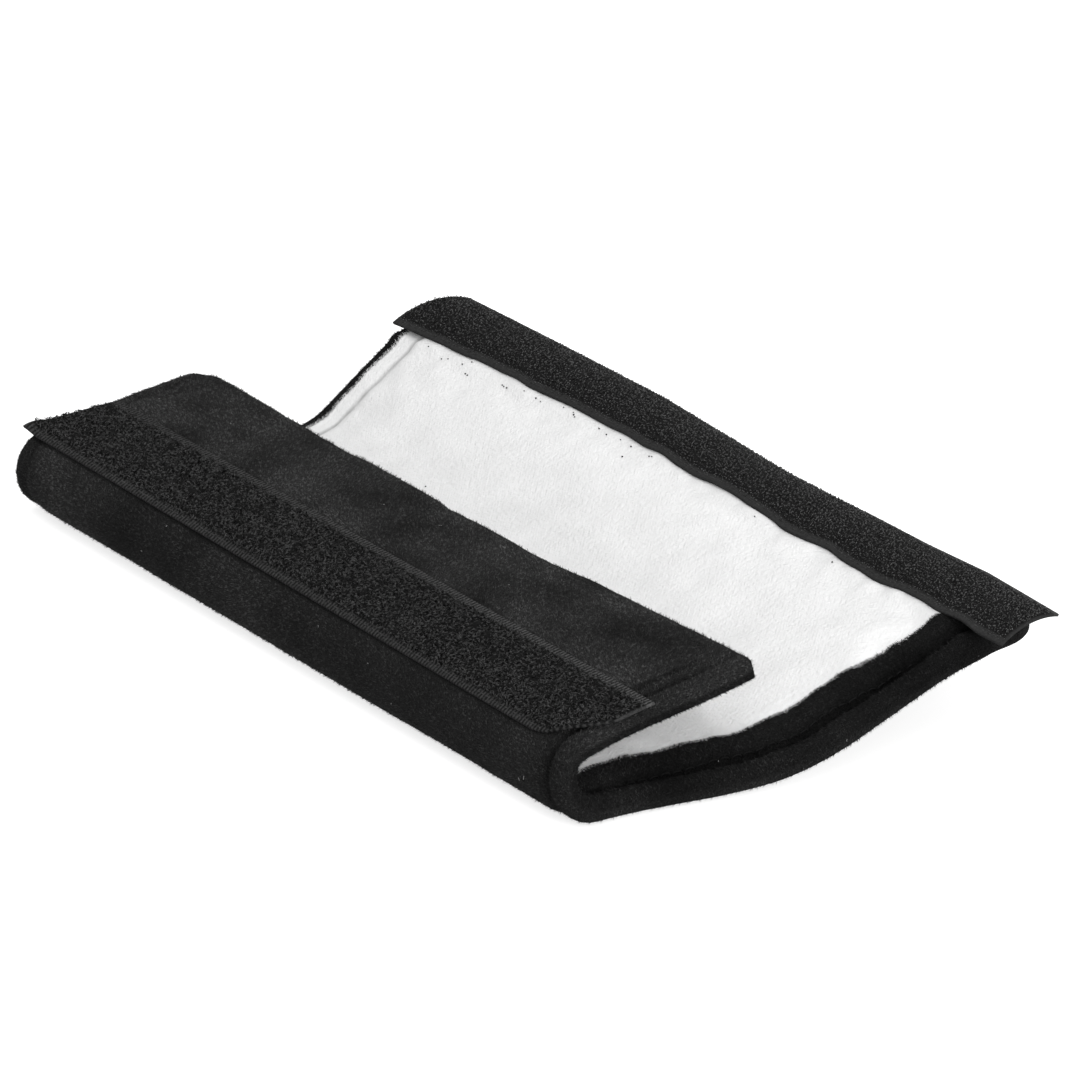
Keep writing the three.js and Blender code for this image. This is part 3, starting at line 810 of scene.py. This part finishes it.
def bands(centres, across):
    """Flat strands: each line of centres gets a point on either side, and quads join them."""
    count, steps = centres.shape[:2]
    points = np.stack([centres - across[:, None], centres + across[:, None]], 2)
    index = np.arange(count * steps * 2).reshape(count, steps, 2)
    quads = [index[:, :-1, 0], index[:, :-1, 1], index[:, 1:, 1], index[:, 1:, 0]]
    return points.reshape(-1, 3), np.stack(quads, -1).reshape(-1, 4)


def tubes(centres, across, radius, sides=3):
    """Round strands: a ring of points about each centre, from across and the direction square to
    it and the strand, closed with a face at each end."""
    count, steps = centres.shape[:2]
    ahead = np.gradient(centres, axis=1)
    ahead /= np.linalg.norm(ahead, axis=-1, keepdims=True) + 1e-9
    side = across[:, None] - ahead * (across[:, None] * ahead).sum(-1, keepdims=True)
    side /= np.linalg.norm(side, axis=-1, keepdims=True) + 1e-9
    third = np.cross(ahead, side)
    turns = np.arange(sides) * 2 * np.pi / sides
    ring = side[:, :, None] * np.cos(turns)[:, None] + third[:, :, None] * np.sin(turns)[:, None]
    points = centres[:, :, None] + ring * np.reshape(radius, (-1, 1, 1, 1))
    index = np.arange(count * steps * sides).reshape(count, steps, sides)
    after = np.roll(index, -1, axis=2)
    quads = [index[:, :-1], after[:, :-1], after[:, 1:], index[:, 1:]]
    faces = [np.stack(quads, -1).reshape(-1, 4), index[:, 0, ::-1], index[:, -1]]
    return points.reshape(-1, 3), faces


def unit(v):
    """Directions of length one."""
    return v / (np.linalg.norm(v, axis=-1, keepdims=True) + 1e-9)


def scatter(points, quads, plan, weight, count, rng):
    """Random places on a grid's quads, in proportion to area times weight: point, outward normal,
    the two directions of the cloth there, the place on the flat cloth and the quad's number."""
    a, b, c, d = (points[quads[:, k]] for k in range(4))
    area = np.linalg.norm(np.cross(c - a, d - b), axis=1) * weight
    chosen = rng.choice(len(quads), count, p=area / area.sum())
    u, v = rng.random((2, count, 1))
    a, b, c, d = a[chosen], b[chosen], c[chosen], d[chosen]
    spot = lerp(lerp(a, b, u), lerp(d, c, u), v)
    normal = unit(np.cross(c - a, d - b))
    flat = [plan[quads[chosen, k]] for k in range(4)]
    where = lerp(lerp(flat[0], flat[1], u), lerp(flat[3], flat[2], u), v)
    tangents = [unit(b - a + c - d), unit(d - a + c - b)]
    changes = flat[1] - flat[0] + flat[2] - flat[3], flat[3] - flat[0] + flat[2] - flat[1]
    for k, change in enumerate(changes):
        if np.abs(change[:, 1]).sum() > np.abs(change[:, 0]).sum():
            along_cloth = tangents[k] * np.sign(change[:, 1:])
        else:
            across_cloth = tangents[k] * np.sign(change[:, :1])
    return spot, normal, across_cloth, along_cloth, where, chosen


def nap(spot, normal, across_cloth, along_cloth, where, lengths, lean, width, rng):
    """Short fibres that lean the way the cloth was brushed: a slowly turning direction, with every
    fibre a little off it."""
    count = len(spot)
    brushed = 2.4 + 1.3 * unevenness(where[:, 0], where[:, 1] * 0.6, 16, 91)
    brushed = brushed + rng.normal(0, 0.55, count)
    flat = across_cloth * np.cos(brushed)[:, None] + along_cloth * np.sin(brushed)[:, None]
    tilt = np.radians(rng.normal(lean, 16, count))[:, None]
    reach = rng.uniform(*lengths, (count, 1))
    tips = spot + (normal * np.cos(tilt) + flat * np.sin(tilt)) * reach
    sideways = unit(np.cross(normal, flat) + normal * rng.normal(0, 0.3, (count, 1)))
    return blades(spot - normal * 0.05, tips, sideways * rng.uniform(*width, (count, 1)) / 2)


def tape_web(path, near, far, pile, seed):
    """A woven tape as a slab: selvedges at the web's height and a rough ground of pile between,
    by a smooth step and two sizes of random heights. Its tone rises on the selvedges and cut ends: halfway
    on the cut ends and on the first selvedge, which is painted shade where the loop tape wraps round the
    fold's side, and on the last from full at the near end to under half at the far end."""
    w, t = np.meshgrid(np.linspace(0, TAPE_WIDTH, 51), np.linspace(0, 1, 320), indexing="ij")
    y = lerp(near(w), far(w), t)
    cut = np.minimum(y - near(w), far(w) - y)
    inner = np.minimum(w, TAPE_WIDTH - w) - SELVEDGE
    middle_share = smooth(inner / 0.7) * smooth(cut / 1.5)
    rough = unevenness(w, y, 0.8, seed) * 0.3 + unevenness(w, y, 3, seed + 1) * 0.2
    height = TAPE_WEB + middle_share * pile * (0.6 + rough)
    first = smooth((SELVEDGE + 0.3 - w) / 0.5)
    last = smooth((w + SELVEDGE + 0.3 - TAPE_WIDTH) / 0.5)
    # The first selvedge is mixed in at half, darker: on the loop tape, painted shade round the fold's
    # side.
    plain = np.maximum(np.maximum(0.5 * first, last * lerp(1, 0.45, t)), 0.5 * (cut < 0.7))
    return slab(path(w, y, height), path(w, y, 0 * w), w, y, plain)


def on_tape(path, near, far, w, t, height):
    """Points of a tape with the directions across it, along it and out of it."""
    y = lerp(near(w), far(w), t)
    here = path(w, y, height)
    across = unit(path(w + 0.2, y, height) - path(w - 0.2, y, height))
    ahead = unit(path(w, y + 0.5, height) - path(w, y - 0.5, height))
    out = unit(path(w, y, height + 0.2) - here)
    return here, across, ahead, out


def loop_pile(count, seed):
    """Curled loops: half rings a millimetre across that lean at random, on the pile's ground."""
    rng = np.random.default_rng(seed)
    w = rng.uniform(SELVEDGE - 0.1, TAPE_WIDTH - SELVEDGE - 0.2, count)
    t = rng.uniform(0.002, 0.998, count)
    here, across, ahead, out = on_tape(*TAPES["loop"], w, t, TAPE_WEB + 0.25)
    turn = rng.uniform(0, 2 * np.pi, (count, 1))
    flat = across * np.cos(turn) + ahead * np.sin(turn)
    lean = unit(out + 0.75 * (np.cross(out, flat) * rng.normal(0, 1, (count, 1))) + 0.3 * flat)
    size = rng.uniform(0.35, 0.75, (count, 1, 1))
    angle = np.linspace(-0.15, 1.1, 5)[None, :, None] * np.pi
    centres = here[:, None] + size * (flat[:, None] * np.cos(angle) + lean[:, None] * np.sin(angle) * 1.1)
    twisted = unit(np.cross(flat, lean) + lean * rng.normal(0, 0.35, (count, 1)))
    return bands(centres, twisted * rng.uniform(0.07, 0.14, (count, 1)))


def hook_pile(pitch, seed):
    """Stiff hooks in rows a pitch apart, each a stem that bends over at the top."""
    rng = np.random.default_rng(seed)
    length = float(hook_tape_far(0.0) - hook_tape_near(0.0))
    across_count, along_count = int((TAPE_WIDTH - 2 * SELVEDGE) / pitch), int(length / pitch)
    w, t = np.meshgrid(
        np.linspace(SELVEDGE - 0.3, TAPE_WIDTH - SELVEDGE - 0.2, across_count),
        np.linspace(0.003, 0.997, along_count),
        indexing="ij",
    )
    count = w.size
    w = w.ravel() + rng.normal(0, 0.24, count)
    t = t.ravel() + rng.normal(0, 0.16 / length, count)
    here, across, ahead, out = on_tape(*TAPES["hook"], w, t, TAPE_WEB + 0.1)
    turn = rng.choice([0.3, -0.3, np.pi + 0.3, np.pi - 0.3], count) + rng.normal(0, 0.35, count)
    flat = across * np.cos(turn)[:, None] + ahead * np.sin(turn)[:, None]
    out = out + 0.25 * across * rng.normal(0, 1, (count, 1))
    out = unit(out + 0.25 * ahead * rng.normal(0, 1, (count, 1)))
    bend = np.array([[0, 0], [0.06, 0.75], [0.45, 0.95], [0.66, 0.55]])
    by_edge = 0.45 + 0.55 * smooth((w - SELVEDGE + 0.5) / 3)
    by_edge = by_edge * (1 - 0.3 * smooth((w - 15) / 7))
    size = rng.uniform(0.45, 0.8, (count, 1, 1)) * by_edge[:, None, None]
    centres = here[:, None] + size * (flat[:, None] * bend[None, :, :1] + out[:, None] * bend[None, :, 1:])
    return tubes(centres, np.cross(out, flat), rng.uniform(0.07, 0.12, count))


STITCH_HALF = 0.43  # half of a stitch as a share of the spacing
LINE_POINTS = 500  # along a stitched line


def stitches(line, upright, spacing, radius, dip):
    """Sewn stitches along a line: short strands that rise in the middle and dip into the cloth at
    both ends, by the fourth power of the distance from the middle."""
    steps = np.linalg.norm(np.diff(line, axis=0), axis=1)
    run = np.concatenate([[0], np.cumsum(steps)])
    count = int(run[-1] / spacing)
    share = np.linspace(-STITCH_HALF, STITCH_HALF, 7)
    at = (np.arange(count)[:, None] + 0.5 + share) * run[-1] / count
    centres = np.stack([np.interp(at, run, line[:, k]) for k in range(3)], -1)
    normals = unit(np.stack([np.interp(at, run, upright[:, k]) for k in range(3)], -1))
    centres = centres - normals * dip * ((share / STITCH_HALF) ** 4)[None, :, None]
    return tubes(centres, normals[:, 3], radius, 5)


def end_stitches(near, side):
    """The topstitch along an end, in its groove."""
    flat_s = np.linspace(FLAP_HEM, SHEET_WIDTH - FLAP_HEM, LINE_POINTS)
    inset = STITCH_INSET[side][0 if near else 1]
    flat_y = np.full(LINE_POINTS, (-1 if near else 1) * (HALF_LENGTH - inset))
    s, y, edge, end = sheet_points(flat_s, flat_y, 0)
    upright = side * upright_at(s, y)
    line = place(s, y, skin(side, s, y, edge, end, 0)) + upright * 0.12
    return stitches(line, upright, spacing=3.2, radius=0.2, dip=0.7)


def tape_stitches(path, near, far, w):
    """The stitching along a selvedge."""
    t = np.linspace(0.006, 0.994, LINE_POINTS)
    here, _, _, out = on_tape(path, near, far, np.full(LINE_POINTS, w), t, TAPE_WEB + 0.04)
    return stitches(here, out, spacing=2.8, radius=0.14, dip=0.3)


for tape, pile, seed, finish in (
    ("loop", LOOP_PILE, 41, LOOP_CLOTH),
    ("hook", 0.55 * HOOK_PILE, 43, HOOK_CLOTH),
):
    points, faces, plan, tone = tape_web(*TAPES[tape], pile, seed)
    name = f"{tape}_tape"
    make_piece(f"{name}_web", points, faces, finish, f"{tape}_pile", [name], plan, tone=tone)
make_piece("loop_tape_loops", *loop_pile(23000, 45), LOOP_FIBRE, "loop_pile")
make_piece("hook_tape_hooks", *hook_pile(0.76, 47), HOOK_FIBRE, "hook_pile")

for near in (True, False):
    for side, thread in ((-1, "needle"), (1, "bobbin")):
        name = f"{'near' if near else 'far'}_end_{thread}"
        pale = side > 0 and not near
        finish, slot = (PALE_THREAD, "pale_thread") if pale else (THREAD, "thread")
        make_piece(f"{name}_stitches", *end_stitches(near, side), finish, slot, [f"{name}_thread"])
for tape, inner in (("loop", TAPE_WIDTH - 1.3), ("hook", 1.3)):
    for edge, w in (("inner", inner), ("outer", TAPE_WIDTH - inner)):
        points, faces = tape_stitches(*TAPES[tape], w)
        name = f"{tape}_tape_{edge}"
        make_piece(f"{name}_stitches", points, faces, TAPE_THREAD, "thread", [f"{name}_thread"])


# The plush's pile, the fleece's nap and what has settled on them.


def plush_pile(count, seed):
    """Fibres all over the cover's outside, except where it is pressed on the table or taped."""
    rng = np.random.default_rng(seed)
    points, quads, plan, lower = COVER_SKIN
    middle_of = points[quads].mean(1)
    flat = plan[quads].mean(1)
    taped = lower & (flat[:, 0] > FOLD_START - LOOP_TAPE_TO_FOLD) & (flat[:, 0] < FOLD_START + 3)
    taped &= flat[:, 1] > LOOP_TAPE_SHORT[0] - HALF_LENGTH + 3
    taped |= ~lower & (flat[:, 0] > NOSE_START - 2)
    hidden = taped | (middle_of[:, 2] < 0.35)
    weight = np.where(hidden, 0, np.where(middle_of[:, 2] < 5, 0.6, 1.0))
    *found, chosen = scatter(points, quads, plan, weight, count, rng)
    tone = pile_patches_and_painted_light(lower[chosen].astype(float), *found[-1].T)
    fibres = nap(*found, lengths=(0.6, 1.1), lean=62, width=(0.14, 0.3), rng=rng)
    return *fibres, np.repeat(tone, 3)


def fuzz(from_hem, count, seed):
    """Fibres across the seam between cover and lining: from the hem's edge over the fleece, or
    from the fleece's edge over the hem."""
    rng = np.random.default_rng(seed)
    wide, tall = SEAM_S[1] - SEAM_S[0], SEAM_Y[1] - SEAM_Y[0]
    which = rng.choice(3, count, p=np.array([wide, wide, tall]) / (2 * wide + tall))
    s = np.where(which == 2, SEAM_S[0], rng.uniform(*SEAM_S, count))
    y = np.select([which == 0, which == 1], [SEAM_Y[0], SEAM_Y[1]], rng.uniform(*SEAM_Y, count))
    inwards = np.array([[0, 1], [0, -1], [1, 0]])[which] * (1 if from_hem else -1)
    back = rng.uniform(0, 0.7, (count, 1))
    start = np.stack([s, y], -1) - inwards * back
    spread = rng.normal(0, 0.6, (count, 1)) * inwards[:, ::-1]
    reach = back + 0.25 + rng.gamma(3.0, 0.12, (count, 1))
    ends = start + unit(inwards + spread) * reach
    found = []
    for flat, lift in ((start, 0.0), (ends, 0.28)):
        a, b, edge, end = sheet_points(flat[:, 0], flat[:, 1], 0)
        height = skin(1, a, b, edge, end, 0) + lift * rng.uniform(0.3, 1.3, count)
        found.append(place(a, b, height))
    along_seam = unit(np.cross(found[1] - found[0], np.array([0, 0, 1.0])))
    return blades(found[0], found[1], along_seam * rng.uniform(0.05, 0.1, (count, 1)))


def lint(roots, normals, spread, least, radius, seed):
    """Specks and short curled threads that lie on the cloth, least long and longer by a gamma
    distribution."""
    rng = np.random.default_rng(seed)
    count = len(roots)
    flat = unit(np.cross(normals, rng.normal(0, 1, (count, 3))))
    side = np.cross(normals, flat)
    t = np.linspace(-0.5, 0.5, 4)[None, :, None]
    reach = rng.gamma(1.5, spread, (count, 1, 1)) + least
    curl = rng.normal(0, 0.5, (count, 1, 1)) * reach
    centres = (roots + normals * 0.35)[:, None] + flat[:, None] * t * reach
    centres = centres + side[:, None] * curl * t**2
    return tubes(centres, normals, rng.uniform(*radius, count), 4)


points, faces, tone = plush_pile(185000, 51)
make_piece("plush_pile", points, faces, PLUSH_FIBRE, "plush", level=False, tone=tone)
points, faces = fuzz(True, 9000, 53)
make_piece("hem_fuzz", points, faces, PLUSH_FIBRE, "plush", level=False, tone=np.full(len(points), 0.75))
make_piece("fleece_fuzz", *fuzz(False, 5000, 55), FLEECE_FIBRE, "fleece", level=False)

rng = np.random.default_rng(57)
points, quads, plan, _ = COVER_SKIN
shown = np.where(points[quads].mean(1)[:, 2] > 3, 1.0, 0.0)
spots, normals, *_ = scatter(points, quads, plan, shown, 90, rng)
points, faces = lint(spots, normals, spread=0.2, least=0.15, radius=(0.04, 0.08), seed=58)
make_piece("grey_lint", points, faces, LINT, "pale_thread")

count = 34
y = np.where(rng.random(count) < 0.7, rng.uniform(0, 112, count), rng.uniform(-108, 112, count))
in_crease = rng.random(count) < 0.7
s = hook_start(y) - np.where(in_crease, 1.2 + rng.gamma(2.0, 1.1, count), rng.uniform(2, 90, count))
s, y, edge, end = sheet_points(s, y, 0)
spots = place(s, y, skin(1, s, y, edge, end, 0) - 0.2)
points, faces = lint(spots, upright_at(s, y), spread=0.05, least=0.2, radius=(0.14, 0.27), seed=59)
make_piece("dark_lint", points, faces, THREAD, "thread")

# The floor, light and camera.

CAMERA_AZIMUTH, CAMERA_ELEVATION = math.radians(-34.78), math.radians(22.93)
CAMERA_FAR, PIXELS_A_MM, IMAGE_SIDE, SENSOR = 3110.2, 3.98, 1080, 36
SEEN_AT = (287.13, 673.13)  # the image point where the fold's far bottom line would show
FOLD_AT = np.array([71.1333, -2.5729, 0.0])


def set_camera():
    """The camera of the photograph: a long lens that looks down at 23 degrees."""
    ca, sa = math.cos(CAMERA_AZIMUTH), math.sin(CAMERA_AZIMUTH)
    ce, se = math.cos(CAMERA_ELEVATION), math.sin(CAMERA_ELEVATION)
    back = np.array([sa * ce, -ca * ce, se])
    right = np.array([ca, sa, 0])
    up = np.cross(back, right)
    centre = IMAGE_SIDE / 2
    across, above = (SEEN_AT[0] - centre) / PIXELS_A_MM, (centre - SEEN_AT[1]) / PIXELS_A_MM
    eye = (back * CAMERA_FAR - right * across - up * above - FOLD_AT) * MM
    data = bpy.data.cameras.new("camera")
    data.sensor_width = SENSOR
    data.lens = PIXELS_A_MM * CAMERA_FAR * SENSOR / IMAGE_SIDE
    data.clip_start, data.clip_end = 0.1, 20
    camera = add_object("camera", data)
    rows = [[right[i], up[i], back[i], eye[i]] for i in range(3)]
    camera.matrix_world = Matrix(rows + [[0, 0, 0, 1]])
    bpy.context.scene.camera = camera


def seen_directly(tree):
    """1 for what the camera sees, straight, mirrored or through glass."""
    path = tree.nodes.new("ShaderNodeLightPath")
    seen = reckon(tree, "MAXIMUM", path.outputs["Is Camera Ray"], path.outputs["Is Glossy Ray"])
    return reckon(tree, "MAXIMUM", seen, path.outputs["Is Transmission Ray"])


def set_floor():
    """A plain floor that the camera sees as white, with the shadow on it."""
    size, low = 4000.0, -0.05
    corners = np.array([[x * size, y * size, low] for x, y in ((-1, -1), (1, -1), (1, 1), (-1, 1))])
    mesh = bpy.data.meshes.new("floor")
    mesh.from_pydata((corners * MM).tolist(), [], [(0, 1, 2, 3)])
    finish = bpy.data.materials.new("white floor")
    finish.use_nodes = True
    tree = finish.node_tree
    shader = tree.nodes["Principled BSDF"]
    set_inputs(shader, {"Base Color": (0.72, 0.72, 0.72, 1), "Emission Color": (1, 1, 1, 1)})
    set_inputs(shader, {"Roughness": 0.9, "Specular IOR Level": 0.0})
    tree.links.new(reckon(tree, "MULTIPLY", seen_directly(tree), 0.72), shader.inputs["Emission Strength"])
    mesh.materials.append(finish)
    floor = add_object("floor", mesh)


def set_light():
    """A large soft lamp overhead, another low in front, and an even room that the camera sees as
    white."""
    world = bpy.data.worlds.new("room")
    bpy.context.scene.world = world
    world.use_nodes = True
    tree = world.node_tree
    background = tree.nodes["Background"]
    background.inputs["Color"].default_value = (1, 1, 1, 1)
    strength = reckon(tree, "ADD", 0.62, reckon(tree, "MULTIPLY", seen_directly(tree), 0.38))
    tree.links.new(strength, background.inputs["Strength"])
    for name, energy, size, spot in (
        ("overhead lamp", 9.5, 1.4, (-0.25, 0.15, 1.5)),
        ("front lamp", 19.0, 1.2, (-0.3, -1.6, 0.45)),
    ):
        data = bpy.data.lights.new(name, "AREA")
        data.energy, data.size = energy, size
        lamp = add_object(name, data)
        lamp.location = spot
        lamp.rotation_euler = Vector(spot).to_track_quat("Z", "Y").to_euler()


set_camera()
set_floor()
set_light()
bpy.context.scene.view_settings.view_transform = "Standard"
